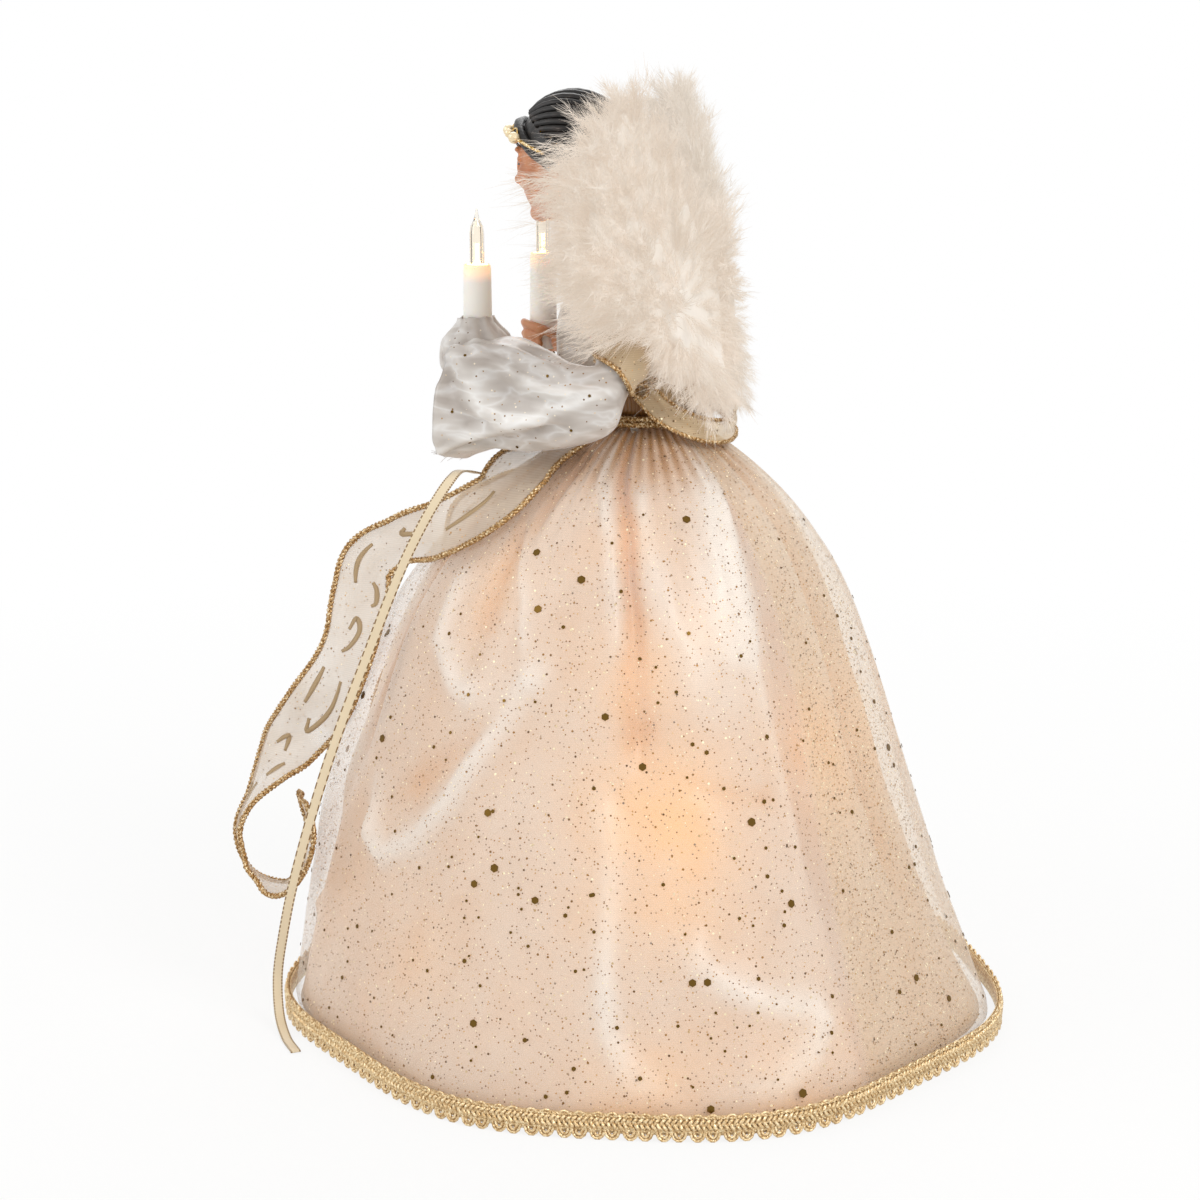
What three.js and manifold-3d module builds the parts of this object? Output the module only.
// A lighted angel tree topper. A hollow cone slides over the tree's leader and carries everything else: the
// torso with its bowed head, two posable arms that hold candle lights, a pair of feather wings, and a
// two-layer skirt lit from inside by eight small lamps that push through the cone's wall.
// Millimetres. +Z is up, the angel faces -Y and her left side is +X. The origin is on the cone's axis, in the
// plane on which the cone's rim and the skirt's hem stand.

import * as THREE from "three";
import { mergeVertices } from "three/addons/utils/BufferGeometryUtils.js";
import Module from "manifold-3d";

const wasm = await Module();
wasm.setup();

// Driving dimensions
const hemRadius = 115;
const waistHeight = 195;
const waistRadius = 16.5;
const clothThickness = 0.9;
const fitGap = 0.35;
const cutOverrun = 4;
const mergeDistance = 1e-4;

// Cone
const coneBaseRadius = 42;
const coneTopRadius = 9.5;
const waistAboveCone = 29;
const coneHeight = waistHeight - waistAboveCone;
const coneWall = 1.3;
const coneSegments = 24;

// Lamps: a holder, a push-in base and a glass bulb, all on one axis
const holderRadius = 3.6;
const holderBack = 8;
const holderFront = 6;
const holderFloor = 4;
const boreWall = 0.7;
const plugLength = 9;
const collarWall = 0.3;
const collarHeight = 3;
const cupDepth = 2.2;
const cupWall = 0.65;
const glassLength = 19;
const glassWall = 0.45;
const filamentRadius = 0.25;
const skirtLampSides = 6;
const candleLampSides = 12;
const lampCount = 8;
const lampRowShares = [0.265, 0.555];
const lampLeadRadius = 0.9;

// Skirt
const skirtSegments = 36;
const skirtRows = 8;
const hemHeight = 9;
const hemThickness = 2.6;
const picotDepth = 1.1;
const foldDepth = 3.6;
const layerGap = 0.8;
const layerPuff = 8;
const forwardBulge = 9;

// Torso and bodice
const shoulderAboveWaist = 34;
const shoulderHeight = waistHeight + shoulderAboveWaist;
const shoulderShare = 0.875;
const torsoHeight = (shoulderHeight - coneHeight) / shoulderShare;
const chestRadius = 15.5;
const torsoSegments = 20;
const stemLength = 12;
const waistCordRadius = 1.7;

// Head
const headForward = 25;
const headAboveShoulder = 50;
const headHeight = shoulderHeight + headAboveShoulder;
const skullHalfWidth = 15;
const skullHalfDepth = 18.2;
const skullHalfHeight = 18.2;
const hairThickness = 2;
const neckRadius = 5.4;
const bustPlateHeight = 5;
const headTilt = THREE.MathUtils.degToRad(6);
const tiaraRadius = 0.7;
const beadRadius = 1.6;
const beadCount = 7;

// Arms, as the left one; the right one mirrors it
const shoulderBack = 1;
const shoulderClearance = 0.6;
const shoulderPinRadius = 1.6;
const shoulderPinLength = 9;
const armRadius = 2.5;
const sleeveRadius = 7.4;
const elbowOut = 41;
const elbowBack = 5;
const elbowBelowShoulder = 19;
const elbowHeight = shoulderHeight - elbowBelowShoulder;
const handOut = 27;
const handForward = 47;
const handBelowShoulder = 11;
const handHeight = shoulderHeight - handBelowShoulder;
const wristLength = 10;
const fingerRadius = 1.5;
const candleLength = 32;
const candleBottomRadius = 4.65;
const candleTopRadius = 4.3;
const candleBelowHand = 4;
const rightSleevePull = 15;
const sleeveLiftShare = 0.25;

// Wings
const wingSpan = 66;
const wingHeight = 96;
const wingBelowShoulder = 28;
const wingBottom = shoulderHeight - wingBelowShoulder;
const wingRootOut = 5.5;
const wingRootBack = 30;
const wingThickness = 7;
const wingBevel = 2.6;
const wingLean = THREE.MathUtils.degToRad(9);
const leftWingSweep = THREE.MathUtils.degToRad(12);
const rightWingSweep = THREE.MathUtils.degToRad(32);
const rightWingRaise = THREE.MathUtils.degToRad(6);
const wingPlateHalfWidth = 8.6;
const wingPlateHeight = 11;
const wingPlateThickness = 1.6;
const wingStemOut = 7.5;
const wingStemRadius = 1;

// Ribbons
const ribbonThickness = 0.8;
const sashWidth = 9;
const sashRise = 10;
const sashLoopWidth = 7;
const knotRadius = 3;
const streamerWidth = 23;
const tieWidth = 3.2;
const stepsPerRow = 2;

const UP = new THREE.Vector3(0, 0, 1);
const vec = (x, y, z) => new THREE.Vector3(x, y, z);
const colour = (hex, roughness, metalness = 0, opacity = 1) =>
  new THREE.MeshStandardMaterial({ color: hex, roughness, metalness, opacity, transparent: opacity < 1 });

const finishes = {
  plastic: colour(0xf4f2ec, 0.45),
  foam: colour(0xf0ece2, 0.9),
  skin: colour(0xb5714a, 0.4),
  hair: colour(0x16120f, 0.35),
  gold: colour(0xc79a4b, 0.35, 0.8),
  satin: colour(0xf3dcc4, 0.4),
  sleeve: colour(0xf2eeee, 0.45),
  organza: colour(0xf3e8da, 0.6, 0, 0.5),
  trim: colour(0xc9ae79, 0.45, 0.5),
  feather: colour(0xf6f3ec, 0.95),
  holder: colour(0xf1efe8, 0.5),
  glass: colour(0xfff1cf, 0.05, 0, 0.4),
  wire: colour(0xb8b2a6, 0.3, 0.9),
  ribbon: colour(0xefe2c4, 0.4),
};

const angel = new THREE.Group();

function add(name, geometry, finish, parent = angel) {
  const mesh = new THREE.Mesh(geometry, finish);
  mesh.name = name;
  parent.add(mesh);
  return mesh;
}

// A closed surface from its corners and triangles, turned so that its faces point outwards.
function closedGeometry(corners, triangles) {
  const volume = triangles.reduce((sum, [a, b, c]) => {
    const across = new THREE.Vector3().crossVectors(corners[b], corners[c]);
    return sum + corners[a].dot(across);
  }, 0);
  const faces = volume < 0 ? triangles.map(([a, b, c]) => [a, c, b]) : triangles;
  const geometry = new THREE.BufferGeometry().setFromPoints(corners);
  geometry.setIndex(faces.flat());
  return geometry;
}

// Rings of equally many points, each joined to the next by quads that are split along their shorter diagonal.
// A loop joins the last ring to the first, which makes a shell of an outer and an inner wall; otherwise a fan
// closes each end.
function throughRings(rings, loop = false) {
  const around = rings[0].length;
  const corners = rings.flat();
  const triangles = [];
  const last = loop ? rings.length : rings.length - 1;
  for (let r = 0; r < last; r++) {
    const next = (r + 1) % rings.length;
    for (let i = 0; i < around; i++) {
      const j = (i + 1) % around;
      const [a, b, c, d] = [r * around + i, r * around + j, next * around + i, next * around + j];
      const falling = corners[a].distanceTo(corners[d]) <= corners[b].distanceTo(corners[c]);
      triangles.push(...(falling ? [[a, b, d], [a, d, c]] : [[a, b, c], [b, d, c]]));
    }
  }
  if (!loop) {
    for (const [r, flip] of [[0, true], [rings.length - 1, false]]) {
      const middle = corners.length;
      const centre = rings[r].reduce((sum, p) => sum.add(p), vec(0, 0, 0)).divideScalar(around);
      corners.push(centre);
      for (let i = 0; i < around; i++) {
        const [a, b] = [r * around + i, r * around + ((i + 1) % around)];
        triangles.push(flip ? [middle, b, a] : [middle, a, b]);
      }
    }
  }
  return closedGeometry(corners, triangles);
}

// A body turned about +Z from its outline of [radius, height] points.
function turned(outline, segments) {
  const onAxis = outline[0][0] === 0;
  const points = outline.map(([radius, height]) => new THREE.Vector2(radius, height));
  if (!onAxis) points.push(points[0].clone());
  const geometry = new THREE.LatheGeometry(points, segments).rotateX(Math.PI / 2);
  return tidy(geometry);
}

// One merged, outward-facing copy of any closed geometry.
function tidy(geometry) {
  const bare = geometry.clone();
  for (const name of Object.keys(bare.attributes)) if (name !== "position") bare.deleteAttribute(name);
  const merged = mergeVertices(bare.index ? bare.toNonIndexed() : bare, mergeDistance);
  const spots = merged.getAttribute("position");
  const corners = Array.from({ length: spots.count }, (_, i) => vec(0, 0, 0).fromBufferAttribute(spots, i));
  const triangles = [];
  for (let i = 0; i < merged.index.count; i += 3) {
    const [a, b, c] = [0, 1, 2].map((k) => merged.index.getX(i + k));
    if (a !== b && b !== c && c !== a) triangles.push([a, b, c]);
  }
  return closedGeometry(corners, triangles);
}

function toSolid(geometry) {
  const clean = tidy(geometry);
  const vertProperties = new Float32Array(clean.getAttribute("position").array);
  const triVerts = new Uint32Array(clean.index.array);
  return new wasm.Manifold(new wasm.Mesh({ numProp: 3, vertProperties, triVerts }));
}

function fromSolid(solid) {
  const { numProp, numVert, vertProperties, triVerts } = solid.getMesh();
  const places = new Float32Array(numVert * 3);
  for (let i = 0; i < numVert; i++) {
    places.set(vertProperties.subarray(i * numProp, i * numProp + 3), i * 3);
  }
  const geometry = new THREE.BufferGeometry().setAttribute("position", new THREE.BufferAttribute(places, 3));
  return geometry.setIndex(new THREE.BufferAttribute(new Uint32Array(triVerts), 1));
}

const joined = (geometries) => geometries.map(toSolid).reduce((whole, next) => whole.add(next));
const cut = (solid, geometries) =>
  geometries.map(toSolid).reduce((whole, next) => whole.subtract(next), solid);

function ellipsoid(centre, halves, around = 16, up = 12) {
  return new THREE.SphereGeometry(1, around, up)
    .scale(halves.x, halves.y, halves.z)
    .translate(centre.x, centre.y, centre.z);
}

// A tube of round section along a curve, with its ends closed.
function tube(curve, radius, steps, sides = 8) {
  const section = new THREE.Shape();
  for (let i = 0; i < sides; i++) {
    const turn = (i / sides) * 2 * Math.PI;
    const [x, y] = [radius * Math.cos(turn), radius * Math.sin(turn)];
    if (i === 0) section.moveTo(x, y);
    else section.lineTo(x, y);
  }
  section.closePath();
  return tidy(new THREE.ExtrudeGeometry(section, { steps, extrudePath: curve }));
}

// A flat ribbon on a smooth line through places. Each row of across is the direction of its width there, and
// each of widthShares a share of its full width.
function ribbon(places, across, widthShares, width, thickness, steps) {
  const middle = new THREE.CatmullRomCurve3(places);
  const edge = new THREE.CatmullRomCurve3(places.map((place, i) => place.clone().add(across[i])));
  const rings = Array.from({ length: steps + 1 }, (_, step) => {
    const share = step / steps;
    const at = share * (places.length - 1);
    const row = Math.min(Math.floor(at), places.length - 2);
    const half = (THREE.MathUtils.lerp(widthShares[row], widthShares[row + 1], at - row) * width) / 2;
    const along = middle.getTangent(share);
    const face = along.clone().cross(edge.getPoint(share).sub(middle.getPoint(share))).normalize();
    const side = face.clone().cross(along).normalize();
    return [[-1, -1], [1, -1], [1, 1], [-1, 1]].map(([u, w]) =>
      middle.getPoint(share).addScaledVector(side, u * half).addScaledVector(face, (w * thickness) / 2),
    );
  });
  return throughRings(rings);
}

// The skirt's surface. drop is 0 at the waist and 1 at the hem; a turn of 0 points to +X.
const flareShare = 0.5;
const puffPower = 6;
const foldWaves = [
  { count: 7, share: 0.65, crest: THREE.MathUtils.degToRad(42) },
  { count: 4, share: 0.35, crest: THREE.MathUtils.degToRad(-70) },
];
const rowCrowding = 1.7;

function skirtRadius(turn, drop, inset = 0) {
  const flare = flareShare * drop + (1 - flareShare) * (1 - Math.pow(1 - drop, puffPower));
  const waves = foldWaves.map((wave) => wave.share * Math.cos(wave.count * (turn - wave.crest)));
  const folds = foldDepth * Math.sqrt(drop) * waves.reduce((sum, wave) => sum + wave);
  const bulge = -forwardBulge * Math.sin(turn) * Math.sin(Math.PI * drop);
  return waistRadius + (hemRadius - waistRadius) * flare + folds + bulge - inset;
}

const skirtPlace = (turn, drop, inset = 0) => {
  const radius = skirtRadius(turn, drop, inset);
  return vec(radius * Math.cos(turn), radius * Math.sin(turn), waistHeight * (1 - drop));
};

const skirtTurn = (step) => (step / skirtSegments) * 2 * Math.PI;

// A skirt layer: its outer wall from the waist down to lowest, then its inner wall back up. The rows crowd
// towards the waist, where the skirt puffs out.
function skirtLayer(insetAt, lowest) {
  const dropOf = (row) => lowest * Math.pow(row / (skirtRows - 1), rowCrowding);
  const rows = Array.from({ length: skirtRows }, (_, row) => dropOf(row));
  const ringAt = (drop, extra) =>
    Array.from({ length: skirtSegments }, (_, i) => skirtPlace(skirtTurn(i), drop, insetAt(drop) + extra));
  const outer = rows.map((drop) => ringAt(drop, 0));
  const inner = rows.map((drop) => ringAt(drop, clothThickness)).reverse();
  return throughRings([...outer, ...inner], true);
}

const overskirtLowest = 1 - hemHeight / 2 / waistHeight;
const underskirtLowest = 1 - hemHeight / waistHeight;
const underskirtInset = (drop) => clothThickness + layerGap + layerPuff * Math.sin(Math.PI * drop);

add("overskirt", skirtLayer(() => 0, overskirtLowest), finishes.organza);
add("underskirt", skirtLayer(underskirtInset, underskirtLowest), finishes.satin);

// The braid round the hem, with a small loop at each segment along its lower and upper edge
function hemBraid() {
  const inner = fitGap;
  const outer = fitGap + hemThickness;
  const rings = [];
  for (let i = 0; i < 2 * skirtSegments; i++) {
    const turn = skirtTurn(i / 2);
    const sides = [Math.floor(i / 2), Math.ceil(i / 2)].map((step) => skirtPlace(skirtTurn(step), 1));
    const middle = sides[0].add(sides[1]).multiplyScalar(0.5);
    const out = vec(Math.cos(turn), Math.sin(turn), 0);
    const loop = i % 2 ? picotDepth : 0;
    const at = (offset, height) => middle.clone().addScaledVector(out, offset).setZ(height);
    rings.push([at(inner, loop), at(outer, loop), at(outer, hemHeight - loop), at(inner, hemHeight - loop)]);
  }
  return throughRings(rings, true);
}
add("hem_braid", hemBraid(), finishes.trim);

// Cone with a hole for each lamp holder
const coneSlope = Math.atan2(coneBaseRadius - coneTopRadius, coneHeight);
const coneRadius = (height) => coneBaseRadius - (height / coneHeight) * (coneBaseRadius - coneTopRadius);

function lampSeat(index) {
  const turn = ((index + 0.5) / lampCount) * 2 * Math.PI;
  const height = lampRowShares[index % lampRowShares.length] * coneHeight;
  const radius = coneRadius(height);
  const seat = new THREE.Group();
  seat.position.set(radius * Math.cos(turn), radius * Math.sin(turn), height);
  const outward = vec(Math.cos(turn), Math.sin(turn), 0).multiplyScalar(Math.cos(coneSlope));
  seat.quaternion.setFromUnitVectors(UP, outward.setZ(Math.sin(coneSlope)));
  seat.updateMatrix();
  return seat;
}

const lampSeats = Array.from({ length: lampCount }, (_, index) => lampSeat(index));
const holeLength = 2 * coneWall + 2 * cutOverrun;
const lampHoles = lampSeats.map((seat) =>
  new THREE.CylinderGeometry(holderRadius + fitGap, holderRadius + fitGap, holeLength, 2 * skirtLampSides)
    .rotateX(Math.PI / 2)
    .applyMatrix4(seat.matrix),
);
const coneShell = turned(
  [
    [coneBaseRadius, 0],
    [coneTopRadius, coneHeight],
    [coneTopRadius - coneWall, coneHeight],
    [coneBaseRadius - coneWall, 0],
  ],
  coneSegments,
);
add("cone", fromSolid(cut(toSolid(coneShell), lampHoles)), finishes.plastic);

// One lamp on a seat, whose +Z points the way the bulb comes out
const boreRadius = holderRadius - boreWall;
const plugRadius = boreRadius - fitGap;
const collarRadius = holderRadius - collarWall;
const collarFoot = holderFront + fitGap;
const cupRadius = collarRadius - cupWall;
const cupFloor = collarFoot + collarHeight - cupDepth;
const glassFoot = cupFloor + fitGap;
const glassRadius = cupRadius - fitGap;

function holder(segments) {
  return turned(
    [
      [0, -holderBack],
      [holderRadius, -holderBack],
      [holderRadius, holderFront],
      [boreRadius, holderFront],
      [boreRadius, -holderFloor],
      [0, -holderFloor],
    ],
    segments,
  );
}

function lampBase(segments) {
  const plugFoot = collarFoot - plugLength;
  return turned(
    [
      [0, plugFoot],
      [plugRadius, plugFoot],
      [plugRadius, collarFoot],
      [collarRadius, collarFoot],
      [collarRadius, collarFoot + collarHeight],
      [cupRadius, collarFoot + collarHeight],
      [cupRadius, cupFloor],
      [0, cupFloor],
    ],
    segments,
  );
}

// The bulb's outline, as shares of its length and radius: a straight body, a shoulder and a drawn tip.
const glassShares = [[0, 1], [0.6, 1], [0.72, 0.86], [0.8, 0.5], [0.86, 0.32], [1, 0.1]];
const glassHollowShares = glassShares.slice(0, -2);

function glassBulb(segments, hollow) {
  const at = ([up, wide], wall) => [glassRadius * wide - wall, glassFoot + up * glassLength];
  const outside = glassShares.map((shares) => at(shares, 0));
  const tip = [0, glassFoot + glassLength];
  if (!hollow) return turned([[0, glassFoot], ...outside, tip], segments);
  const inside = glassHollowShares.map((shares) => at(shares, glassWall)).reverse();
  return turned([[0, inside[0][1]], ...inside, ...outside, tip], segments);
}

// The bulb's glass bead, its two leads and the coil between them
const beadShares = { rise: 0.13, wide: 0.5, deep: 0.4, high: 0.35 };
const coilShares = { out: 0.32, rise: 0.42 };

function filamentParts() {
  const bead = vec(0, 0, glassFoot + beadShares.rise * glassLength);
  const halves = vec(beadShares.wide, beadShares.deep, beadShares.high).multiplyScalar(glassRadius);
  const out = coilShares.out * glassRadius;
  const top = glassFoot + coilShares.rise * glassLength;
  const leads = [-out, out].map((x) => new THREE.LineCurve3(vec(x, 0, cupFloor - cupWall), vec(x, 0, top)));
  const coil = new THREE.LineCurve3(vec(-out - filamentRadius, 0, top), vec(out + filamentRadius, 0, top));
  return [ellipsoid(bead, halves, 8, 6), ...[...leads, coil].map((line) => tube(line, filamentRadius, 1, 5))];
}

lampSeats.forEach((seat, index) => {
  angel.add(seat);
  const number = index + 1;
  add(`lamp_holder_${number}`, holder(skirtLampSides), finishes.holder, seat);
  add(`lamp_base_${number}`, lampBase(skirtLampSides), finishes.holder, seat);
  add(`lamp_bulb_${number}`, glassBulb(skirtLampSides, false), finishes.glass, seat);
});

// The lamps' lead runs from holder to holder inside the cone, just behind them.
const leadPoints = lampSeats.map((seat) => {
  const behind = vec(0, 0, -holderBack - fitGap - lampLeadRadius);
  return behind.applyMatrix4(seat.matrix);
});
leadPoints.push(leadPoints[0].clone().lerp(leadPoints[leadPoints.length - 1], 0.5));
add("lamp_lead", tube(new THREE.CatmullRomCurve3(leadPoints), lampLeadRadius, 32, 6), finishes.plastic);

// Torso: a stem in the cone's top, a seat on its rim, then waist, chest and a flat top for the head's plate
const torsoWideShare = 1.1;
const torsoDeepShare = 0.92;
const torsoSeatShare = 0.85;
const skirtTopInner = waistRadius - 2 * clothThickness - layerGap;
const torsoWaistRadius = (skirtTopInner - fitGap) / torsoWideShare;
const torsoFoot = coneHeight + fitGap;
const torsoTop = torsoFoot + torsoHeight;
const waistShare = (waistHeight - torsoFoot) / torsoHeight;
const torsoShares = [[waistShare, 0], [0.56, 0.45], [0.74, 1], [0.88, 1.02], [0.96, 0.9], [1, 0.55]];

const ovalRing = (radius, height) =>
  Array.from({ length: torsoSegments }, (_, i) => {
    const turn = (i / torsoSegments) * 2 * Math.PI;
    return vec(radius * torsoWideShare * Math.cos(turn), radius * torsoDeepShare * Math.sin(turn), height);
  });
const torsoRows = torsoShares.map(([up, wide]) => [
  THREE.MathUtils.lerp(torsoWaistRadius, chestRadius, wide),
  torsoFoot + up * torsoHeight,
]);
const stemRadius = (coneTopRadius - coneWall - fitGap) / torsoWideShare;
const torsoSolid = toSolid(
  throughRings([
    ovalRing(stemRadius, coneHeight - stemLength),
    ovalRing(stemRadius, torsoFoot),
    ovalRing(torsoWaistRadius * torsoSeatShare, torsoFoot),
    ...torsoRows.map(([radius, height]) => ovalRing(radius, height)),
  ]),
);

// Bodice: a satin shell round the torso, from the skirt's top to the shoulders
const bodiceFoot = [torsoWaistRadius, waistHeight + fitGap];
const bodiceRows = [bodiceFoot, ...torsoRows.slice(1, -1)].map(([radius, height]) => [
  radius + 2 * fitGap + clothThickness,
  height,
]);
const bodiceSolid = toSolid(
  throughRings(
    [
      ...bodiceRows.map(([radius, height]) => ovalRing(radius, height)),
      ...bodiceRows.map(([radius, height]) => ovalRing(radius - clothThickness, height)).reverse(),
    ],
    true,
  ),
);
function bodiceRadius(height) {
  const above = Math.max(bodiceRows.findIndex((row) => row[1] > height), 1);
  const [[lowRadius, low], [highRadius, high]] = [bodiceRows[above - 1], bodiceRows[above]];
  return THREE.MathUtils.mapLinear(height, low, high, lowRadius, highRadius);
}

// The shoulder pins turn in holes through the bodice and into the torso.
const bodiceSide = bodiceRadius(shoulderHeight) * torsoWideShare;
const shoulderLine = (start, end) =>
  new THREE.LineCurve3(vec(start, shoulderBack, shoulderHeight), vec(end, shoulderBack, shoulderHeight));
const pinHole = (side) => {
  const start = bodiceSide + shoulderClearance - shoulderPinLength - fitGap;
  const line = shoulderLine(side * start, side * (bodiceSide + cutOverrun));
  return tube(line, shoulderPinRadius + fitGap, 1, 10);
};
const pinHoles = [pinHole(1), pinHole(-1)];
add("torso", fromSolid(cut(torsoSolid, pinHoles)), finishes.foam);
add("bodice", fromSolid(cut(bodiceSolid, pinHoles)), finishes.satin);

// Gold cord that lies on the skirt's top edge, round the bodice
const waistCordMiddle = bodiceRows[0][0] * torsoWideShare + waistCordRadius + 3 * fitGap;
const waistCord = new THREE.TorusGeometry(waistCordMiddle, waistCordRadius, 6, torsoSegments);
add("waist_cord", tidy(waistCord.translate(0, 0, waistHeight + fitGap + waistCordRadius)), finishes.gold);

// Head, in its own frame: the skull's centre is the origin and the face looks to -Y
const skullHalves = vec(skullHalfWidth, skullHalfDepth, skullHalfHeight);
const headFrame = new THREE.Matrix4()
  .makeTranslation(0, -headForward, headHeight)
  .multiply(new THREE.Matrix4().makeRotationX(headTilt));
const onHead = (geometry) => geometry.applyMatrix4(headFrame);
const headShare = ([x, y, z]) => vec(x, y, z).multiply(skullHalves);

const bustPlateShares = [0.78, 0.6];
const neckTopShares = [0, 0.05, -0.55];
const bustPlateFoot = torsoTop + fitGap;
const neckFoot = vec(0, 0, bustPlateFoot + bustPlateHeight / 2);
const neckTop = headShare(neckTopShares).applyMatrix4(headFrame);
const faceShares = {
  skull: { centre: [0, 0, 0], halves: [1, 1, 1], sides: 16 },
  jaw: { centre: [0, -0.34, -0.42], halves: [0.74, 0.64, 0.76], sides: 12 },
  chin: { centre: [0, -0.78, -0.98], halves: [0.26, 0.18, 0.16], sides: 8 },
  nose: { centre: [0, -1.0, -0.34], halves: [0.11, 0.16, 0.2], sides: 6 },
  mouth: { centre: [0, -0.93, -0.68], halves: [0.19, 0.08, 0.075], sides: 6 },
};
const heightSides = 0.7;

// Skull, face and neck, each grown by extra
function headParts(extra) {
  const face = Object.values(faceShares).map(({ centre, halves, sides }) => {
    const grown = headShare(halves).addScalar(extra);
    return onHead(ellipsoid(headShare(centre), grown, sides, Math.round(sides * heightSides)));
  });
  return [...face, tube(new THREE.LineCurve3(neckFoot, neckTop), neckRadius + extra, 1, 12)];
}
const bustHalves = vec(bustPlateShares[0] * chestRadius, bustPlateShares[1] * chestRadius, bustPlateHeight);
const bustPlate = ellipsoid(vec(0, 0, bustPlateFoot), bustHalves, 16, 8);
const belowPlate = new THREE.BoxGeometry(4 * chestRadius, 4 * chestRadius, 2 * bustPlateHeight)
  .translate(0, 0, bustPlateFoot - bustPlateHeight);
add("head", fromSolid(cut(joined([...headParts(0), bustPlate]), [belowPlate])), finishes.skin);

// Hair: a cap over the skull, cut away in front of a hairline that slants from the forehead to the nape
const hairHalves = skullHalves.clone().addScalar(fitGap + hairThickness);
const hairSize = 4 * skullHalfDepth;
const hairlineShares = [0, -0.36, -0.06];
const napeShare = 0.62;
const hairlineSlant = THREE.MathUtils.degToRad(48);
const hairlineAt = headShare(hairlineShares);
const bunShares = { centre: [0, 0.98, -0.05], halves: [0.55, 0.36, 0.46] };
const hairline = new THREE.BoxGeometry(hairSize, hairSize, hairSize)
  .translate(0, -hairSize / 2, 0)
  .rotateX(hairlineSlant)
  .translate(hairlineAt.x, hairlineAt.y, hairlineAt.z);
const belowNape = new THREE.BoxGeometry(hairSize, hairSize, hairSize)
  .translate(0, 0, -hairSize / 2 - skullHalfHeight * napeShare);
const bun = ellipsoid(headShare(bunShares.centre), headShare(bunShares.halves), 12, 8);
const cap = ellipsoid(vec(0, 0, 0), hairHalves, 18, 12);
const hair = cut(joined([cap, bun].map(onHead)), [...headParts(fitGap), onHead(hairline), onHead(belowNape)]);
add("hair", fromSolid(hair), finishes.hair);

// Tiara: a wire band that leans forward over the front of the hair, with beads along it
const bandReach = THREE.MathUtils.degToRad(82);
const bandTilt = THREE.MathUtils.degToRad(-27);
const beadSpread = 0.55;
const beadSeat = 0.6;
const bandSteps = 12;
const bandRadii = hairHalves.clone().addScalar(tiaraRadius + fitGap);
function bandPlace(share) {
  const turn = share * bandReach - Math.PI / 2;
  const place = vec(bandRadii.x * Math.cos(turn), bandRadii.y * Math.sin(turn), 0);
  return place.applyAxisAngle(vec(1, 0, 0), bandTilt);
}
const bandPlaces = Array.from({ length: bandSteps + 1 }, (_, i) => bandPlace((2 * i) / bandSteps - 1));
const beads = Array.from({ length: beadCount }, (_, i) => {
  const place = bandPlace((i / (beadCount - 1) - 1 / 2) * 2 * beadSpread);
  place.addScaledVector(place.clone().normalize(), beadRadius * beadSeat);
  return ellipsoid(place, vec(beadRadius, beadRadius, beadRadius), 6, 4);
});
const tiara = joined([tube(new THREE.CatmullRomCurve3(bandPlaces), tiaraRadius, bandSteps, 5), ...beads]);
add("tiara", onHead(fromSolid(tiara)), finishes.gold);

// Arms and sleeves. Each row is one ring of the sleeve, in shares of the sleeve's radius: the joint that it
// goes with, its centre from there, the directions of its height and width, its half height and half width,
// how far it follows a sleeve drawn back from the hand, and 1 for an oval ring or less for a boxy one.
const sleeveStart = bodiceSide + shoulderClearance;
const joints = {
  shoulder: vec(sleeveStart, shoulderBack, shoulderHeight),
  elbow: vec(elbowOut, elbowBack, elbowHeight),
  hand: vec(handOut, -handForward, handHeight),
};
const sleeveShares = [
  ["shoulder", [0, 0, 0], [0, 0, 1], [0, -1, 0], 1, 1, 0, 1],
  ["shoulder", [0.8, 0.14, -0.5], [0.6, 0.1, 0.8], [0.18, -0.98, 0], 1.08, 1.05, 0, 1],
  ["elbow", [-0.5, -0.1, 0.5], [0.67, -0.33, 0.66], [-0.44, -0.9, 0], 1.12, 1.1, 0, 1],
  ["elbow", [0.1, -1.1, -0.35], [0.03, -0.42, 0.91], [-1, -0.07, 0], 1.6, 1.15, 0, 1],
  ["elbow", [-0.5, -3.3, -0.6], [0, 0.1, 1], [-1, 0.1, 0], 2.1, 1.5, 0, 0.9],
  ["hand", [0.45, 1.2, -1.3], [0, 0.05, 1], [-1, 0.1, 0], 2.6, 2.15, 0.6, 0.7],
  ["hand", [0.35, -0.8, -1.6], [-0.1, 0, 1], [-1, 0.1, 0], 2.8, 2.15, 1, 0.65],
];
const sleeveSides = 14;

function sleeveRings(pulled, inset) {
  return sleeveShares.map(([joint, off, up, side, high, wide, pull, square]) => {
    const drawn = vec(0, pull * pulled, pull * pulled * sleeveLiftShare);
    const centre = joints[joint].clone().addScaledVector(vec(...off), sleeveRadius).add(drawn);
    const [upward, sideways] = [vec(...up).normalize(), vec(...side).normalize()];
    const bent = (value) => Math.sign(value) * Math.pow(Math.abs(value), square);
    return Array.from({ length: sleeveSides }, (_, i) => {
      const turn = (i / sleeveSides) * 2 * Math.PI;
      return centre
        .clone()
        .addScaledVector(upward, (high * sleeveRadius - inset) * bent(Math.cos(turn)))
        .addScaledVector(sideways, (wide * sleeveRadius - inset) * bent(Math.sin(turn)));
    });
  });
}

const mirrored = (geometry, side) => (side > 0 ? geometry : tidy(geometry.clone().scale(-1, 1, 1)));

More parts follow.
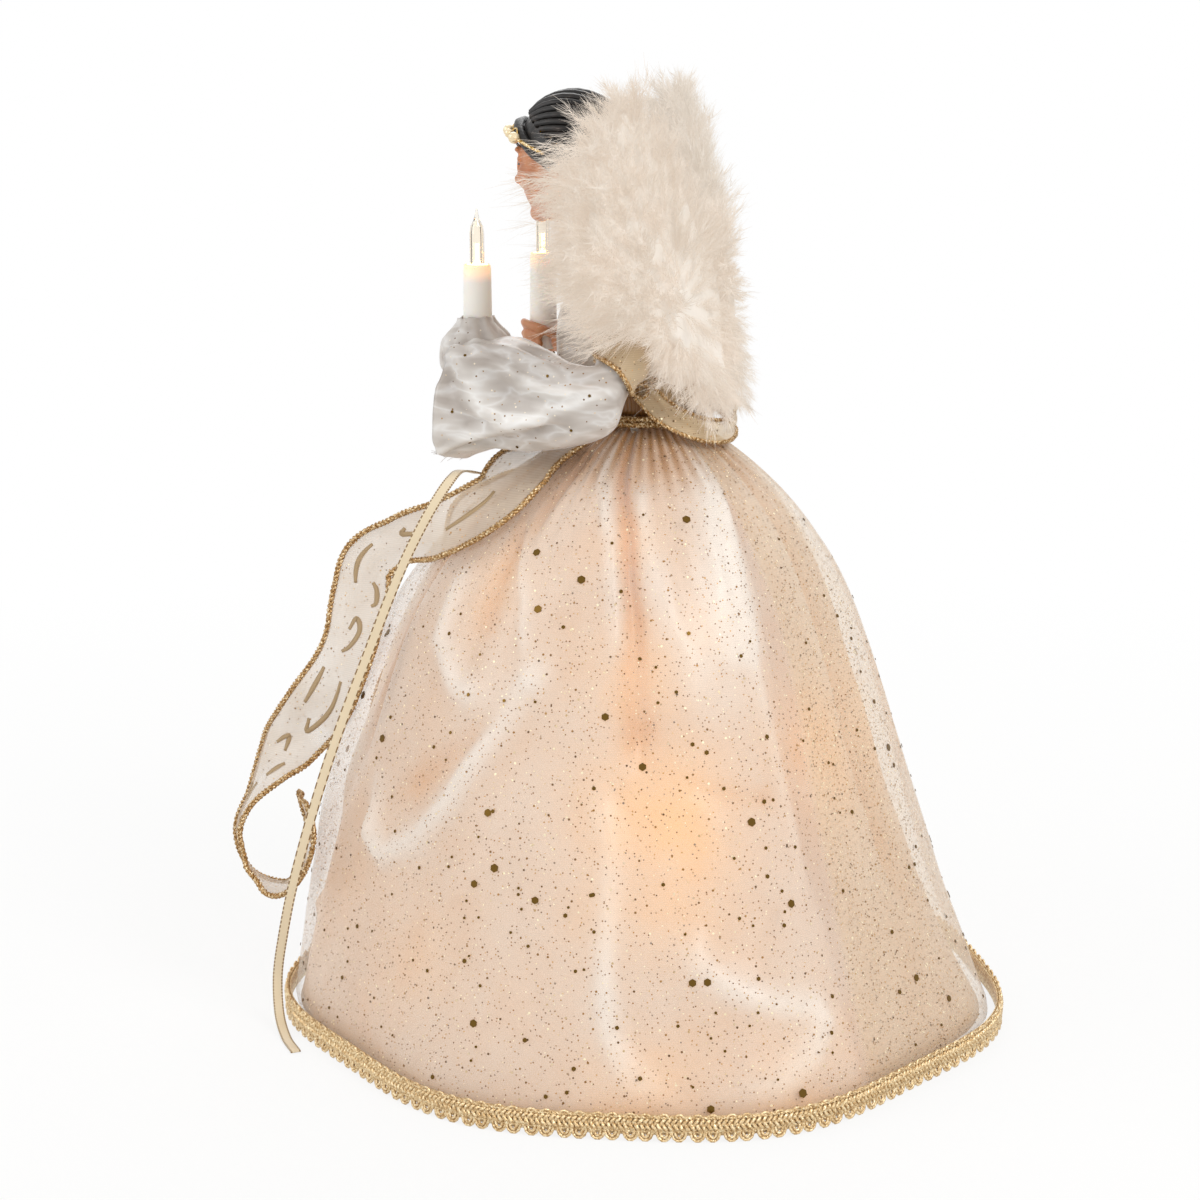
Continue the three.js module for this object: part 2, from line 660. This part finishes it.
// A closed hand: a stack of four rolled fingers round the candle, the palm behind them and the wrist
const candleHole = candleBottomRadius + fitGap;
const fingerShares = { dip: 1.2, full: 2, palmSeat: 0.5, pitch: 1.75 };
const fingerPitch = fingerShares.pitch * fingerRadius;
const fingerPlaces = [-2, -1.5, -1, -0.5, 0, 0.5, 1, 1.5, 2];
const palmShares = [3.4, 2.6, 3.2];
const wristShares = [0.2, 1, -0.1];
const palmBack = candleHole + fingerShares.dip * fingerRadius;
const wristEnd = vec(...wristShares).multiplyScalar(wristLength);

function hand() {
  const outline = fingerPlaces.map((place, i) => {
    const out = i % 2 ? fingerShares.full : fingerShares.dip;
    return [candleHole + out * fingerRadius, place * fingerPitch];
  });
  const half = outline[outline.length - 1][1];
  const fingers = turned([[candleHole, -half], ...outline, [candleHole, half]], 14);
  const palm = ellipsoid(vec(0, palmBack, 0), vec(...palmShares).multiplyScalar(fingerRadius), 8, 6);
  const wrist = tube(new THREE.LineCurve3(vec(0, palmBack, 0), wristEnd), armRadius, 1, 6);
  const palmSeat = candleHole + fingerShares.palmSeat * fingerRadius;
  const bore = new THREE.CylinderGeometry(palmSeat, palmSeat, 4 * half, 14).rotateX(Math.PI / 2);
  return cut(joined([palm, wrist]), [bore]).add(toSolid(fingers));
}

const candleBore = holderRadius + fitGap;
const candleOutline = [
  [candleBottomRadius, 0],
  [candleTopRadius, candleLength],
  [candleBore, candleLength],
  [candleBore, 0],
];

function armTube() {
  const { shoulder, elbow, hand: grip } = joints;
  const wrist = grip.clone().add(wristEnd).add(vec(0, 2 * fitGap, 0));
  const inSleeve = (from, shares) => from.clone().addScaledVector(vec(...shares), armRadius);
  const route = new THREE.CatmullRomCurve3([
    shoulder,
    inSleeve(shoulder, [1.6, 0, -0.15]),
    inSleeve(shoulder, [3.6, 0.4, -2]),
    inSleeve(elbow, [-0.8, 0, 1.2]),
    inSleeve(elbow, [-0.4, -3.6, 0]),
    elbow.clone().lerp(wrist, 0.5),
    wrist,
  ]);
  const pinLine = shoulderLine(sleeveStart - shoulderPinLength, sleeveStart + armRadius);
  const pin = tube(pinLine, shoulderPinRadius, 1, 10);
  return fromSolid(joined([tube(route, armRadius, 16, 8), pin]));
}

function arm(side, label, pulled) {
  add(`arm_${label}`, mirrored(armTube(), side), finishes.foam);

  const [outer, inner] = [0, clothThickness].map((inset) => sleeveRings(pulled, inset));
  const shell = throughRings([...outer, ...inner.reverse()], true);
  const candleSlit = new THREE.CylinderGeometry(candleHole, candleHole, candleLength, 12)
    .rotateX(Math.PI / 2)
    .translate(handOut, -handForward, handHeight + candleLength / 2);
  add(`sleeve_${label}`, mirrored(fromSolid(cut(toSolid(shell), [candleSlit])), side), finishes.sleeve);

  const grip = new THREE.Group();
  grip.position.set(side * handOut, -handForward, handHeight);
  angel.add(grip);
  add(`hand_${label}`, mirrored(fromSolid(hand()), side), finishes.skin, grip);

  const stick = new THREE.Group();
  stick.position.set(0, 0, -candleBelowHand);
  grip.add(stick);
  add(`candle_${label}`, turned(candleOutline, 16), finishes.plastic, stick);

  const seat = new THREE.Group();
  seat.position.set(0, 0, candleLength - collarFoot - collarHeight);
  stick.add(seat);
  add(`candle_holder_${label}`, holder(candleLampSides), finishes.holder, seat);
  const base = joined([lampBase(candleLampSides), ...filamentParts()]);
  add(`candle_base_${label}`, fromSolid(base), finishes.holder, seat);
  add(`candle_bulb_${label}`, glassBulb(candleLampSides, true), finishes.glass, seat);
}
arm(1, "left", 0);
arm(-1, "right", rightSleevePull);

// Wings. The outline is in shares of the span and the height, from the root's foot round by the tip.
const wingShares = [
  [0.0, 0.02], [0.15, 0.06], [0.3, 0.15], [0.47, 0.26], [0.63, 0.33], [0.78, 0.4], [0.92, 0.48], [1.0, 0.6],
  [0.97, 0.73], [0.88, 0.85], [0.76, 0.94], [0.61, 1.0], [0.45, 0.95], [0.32, 0.84], [0.2, 0.7],
  [0.08, 0.56], [0.0, 0.45], [0.0, 0.22],
];

function wing(side, label, sweep, raise) {
  const outline = new THREE.SplineCurve(
    [...wingShares, wingShares[0]].map(([along, up]) => new THREE.Vector2(along * wingSpan, up * wingHeight)),
  );
  const shape = new THREE.Shape(outline.getPoints(32).slice(0, -1));
  const flat = new THREE.ExtrudeGeometry(shape, {
    depth: wingThickness - 2 * wingBevel,
    bevelThickness: wingBevel,
    bevelSize: wingBevel,
    bevelOffset: -wingBevel,
    bevelSegments: 2,
    curveSegments: 1,
  });
  flat.rotateX(Math.PI / 2).translate(0, wingThickness / 2 - wingBevel, 0);
  flat.rotateY(-raise).rotateX(wingLean).rotateZ(-sweep);
  const root = new THREE.Group();
  root.position.set(side * wingRootOut, wingRootBack, wingBottom);
  angel.add(root);
  add(`wing_${label}`, mirrored(tidy(flat), side), finishes.feather, root);
}
wing(1, "left", leftWingSweep, 0);
wing(-1, "right", rightWingSweep, rightWingRaise);

// The plate on the bodice's back, and the wire stem from it to each wing
const plateBack = bodiceRadius(shoulderHeight) * torsoDeepShare + fitGap + wingPlateThickness;
const wingPlate = new THREE.BoxGeometry(2 * wingPlateHalfWidth, wingPlateThickness, wingPlateHeight);
add("wing_plate", wingPlate.translate(0, plateBack - wingPlateThickness / 2, shoulderHeight), finishes.foam);
for (const [side, label, sweep] of [[1, "left", leftWingSweep], [-1, "right", rightWingSweep]]) {
  const x = side * wingStemOut;
  const normal = vec(0, 1, 0).applyAxisAngle(vec(1, 0, 0), wingLean).applyAxisAngle(UP, -sweep);
  const reach =
    normal.x * (wingStemOut - wingRootOut) +
    normal.z * (shoulderHeight - wingBottom) +
    wingStemRadius * Math.hypot(normal.x, normal.z) +
    wingThickness / 2;
  const wingFront = wingRootBack - reach / normal.y;
  const stem = new THREE.LineCurve3(
    vec(x, plateBack + fitGap, shoulderHeight),
    vec(x, wingFront - fitGap, shoulderHeight),
  );
  add(`wing_stem_${label}`, tube(stem, wingStemRadius, 1, 8), finishes.wire);
}

// Sash: a sheer band round the bodice, higher in front than behind
const sashMiddle = (waistHeight + shoulderHeight) / 2;
const sashRings = Array.from({ length: torsoSegments }, (_, i) => {
  const turn = (i / torsoSegments) * 2 * Math.PI;
  const height = sashMiddle - sashRise * Math.sin(turn);
  const at = (edge, out) => {
    const level = height + (edge * sashWidth) / 2;
    const radius = bodiceRadius(level) + out;
    return vec(radius * torsoWideShare * Math.cos(turn), radius * torsoDeepShare * Math.sin(turn), level);
  };
  const [near, far] = [2 * fitGap, 2 * fitGap + ribbonThickness];
  return [at(-1, near), at(-1, far), at(1, far), at(1, near)];
});
add("sash", throughRings(sashRings, true), finishes.organza);

// The sash's tail: a knot at the left hip, then a swag behind the back, in shares of the chest's radius
// measured from the waist
const swagShares = [
  [1.36, 0.4, 0.84], [1.3, 0.84, 0.42], [0.94, 1.32, 0.1], [0.39, 1.68, -0.06], [-0.26, 1.79, -0.06],
  [-0.84, 1.65, 0.1], [-1.23, 1.13, 0.39], [-1.19, 0.61, 0.65],
];
const swagPlaces = swagShares.map((shares) =>
  vec(...shares).multiplyScalar(chestRadius).addScaledVector(UP, waistHeight),
);
const swagAcross = swagPlaces.map(() => UP);
const swagWide = swagPlaces.map(() => 1);
const swagSteps = stepsPerRow * swagPlaces.length;
const swag = ribbon(swagPlaces, swagAcross, swagWide, sashLoopWidth, ribbonThickness, swagSteps);
const knot = ellipsoid(swagPlaces[0], vec(knotRadius, knotRadius, knotRadius), 7, 5);
add("sash_loop", fromSolid(joined([swag, knot])), finishes.organza);

// Streamers: a wide wired ribbon down each side of the skirt's front that curls into a loop at its end.
// Places are in shares of the hem's radius and the waist's height.
const streamerShares = [
  { at: [0.166, -0.133, 0.981], across: [0.62, 0.78, 0], wide: 0.5 },
  { at: [0.275, -0.255, 0.942], across: [0.16, 0.99, -0.04], wide: 1 },
  { at: [0.352, -0.3, 0.9], across: [0.46, 0.88, -0.1], wide: 1 },
  { at: [0.362, -0.471, 0.84], across: [0.4, 0.85, -0.34], wide: 0.8 },
  { at: [0.348, -0.614, 0.81], across: [0, 0.64, -0.77], wide: 0.62 },
  { at: [0.357, -0.701, 0.772], across: [0, 0.76, -0.65], wide: 0.74 },
  { at: [0.374, -0.717, 0.72], across: [0, 1, -0.06], wide: 0.86 },
  { at: [0.426, -0.724, 0.65], across: [0.25, 0.95, 0.1], wide: 1 },
  { at: [0.443, -0.778, 0.571], across: [0.3, 0.92, -0.15], wide: 1 },
  { at: [0.409, -0.914, 0.473], across: [0, 0.82, -0.57], wide: 0.84 },
  { at: [0.435, -0.985, 0.42], across: [0.62, 0.77, -0.17], wide: 0.9 },
  { at: [0.461, -1.049, 0.356], across: [0.82, 0.53, 0.21], wide: 0.87 },
  { at: [0.47, -1.081, 0.293], across: [0.82, 0.53, 0.21], wide: 0.87 },
  { at: [0.478, -1.04, 0.239], across: [0.82, 0.53, 0.21], wide: 0.87 },
  { at: [0.487, -0.938, 0.223], across: [0.82, 0.53, 0.21], wide: 0.87 },
  { at: [0.505, -0.862, 0.26], across: [0.82, 0.53, 0.21], wide: 0.87 },
  { at: [0.515, -0.822, 0.328], across: [0.82, 0.53, 0.21], wide: 0.87 },
  { at: [0.52, -0.84, 0.385], across: [0.82, 0.53, 0.21], wide: 0.87 },
];
const streamerReach = vec(hemRadius, hemRadius, waistHeight);
const streamerPlaces = streamerShares.map(({ at }) => vec(...at).multiply(streamerReach));
const streamerAcross = streamerShares.map(({ across }) => vec(...across).normalize());
const streamerWide = streamerShares.map(({ wide }) => wide);
const streamer = ribbon(
  streamerPlaces,
  streamerAcross,
  streamerWide,
  streamerWidth,
  ribbonThickness,
  stepsPerRow * (streamerPlaces.length - 1),
);
add("streamer_left", mirrored(streamer, 1), finishes.organza);
add("streamer_right", mirrored(streamer, -1), finishes.organza);

// The narrow satin tie hangs in front of the left streamer and ends on the floor by the hem. Its route in mm:
const tieRoute = [
  [31.9, -45, 180.4], [44, -45.5, 183], [53, -44.5, 182.5], [58.5, -48.5, 174.5], [62, -57, 157],
  [65, -68.5, 128], [70.5, -81, 92], [73.5, -92.3, 54],
  [71.5, -98.5, 32.5], [70, -102, 16], [74, -99.5, 5], [81, -93.5, 0.9], [90, -85, 0.7],
];
const tieSides = [
  [0, 1, 0], [0, 1, 0], [-0.2, 0.98, 0], [-0.36, 0.93, 0], [-0.36, 0.93, 0], [-0.36, 0.93, 0],
  [-0.36, 0.93, 0], [-0.36, 0.93, 0], [-0.36, 0.93, 0], [-0.4, 0.91, 0], [-0.6, 0.8, 0],
  [-0.69, 0.73, 0], [-0.69, 0.73, 0],
];
const tiePlaces = tieRoute.map((place) => vec(...place));
const tieAcross = tieSides.map((across) => vec(...across).normalize());
const tieWide = tieRoute.map(() => 1);
const tieSteps = stepsPerRow * (tieRoute.length - 1);
const tie = ribbon(tiePlaces, tieAcross, tieWide, tieWidth, ribbonThickness, tieSteps);
add("tie_ribbon", tidy(tie), finishes.ribbon);

export default angel;
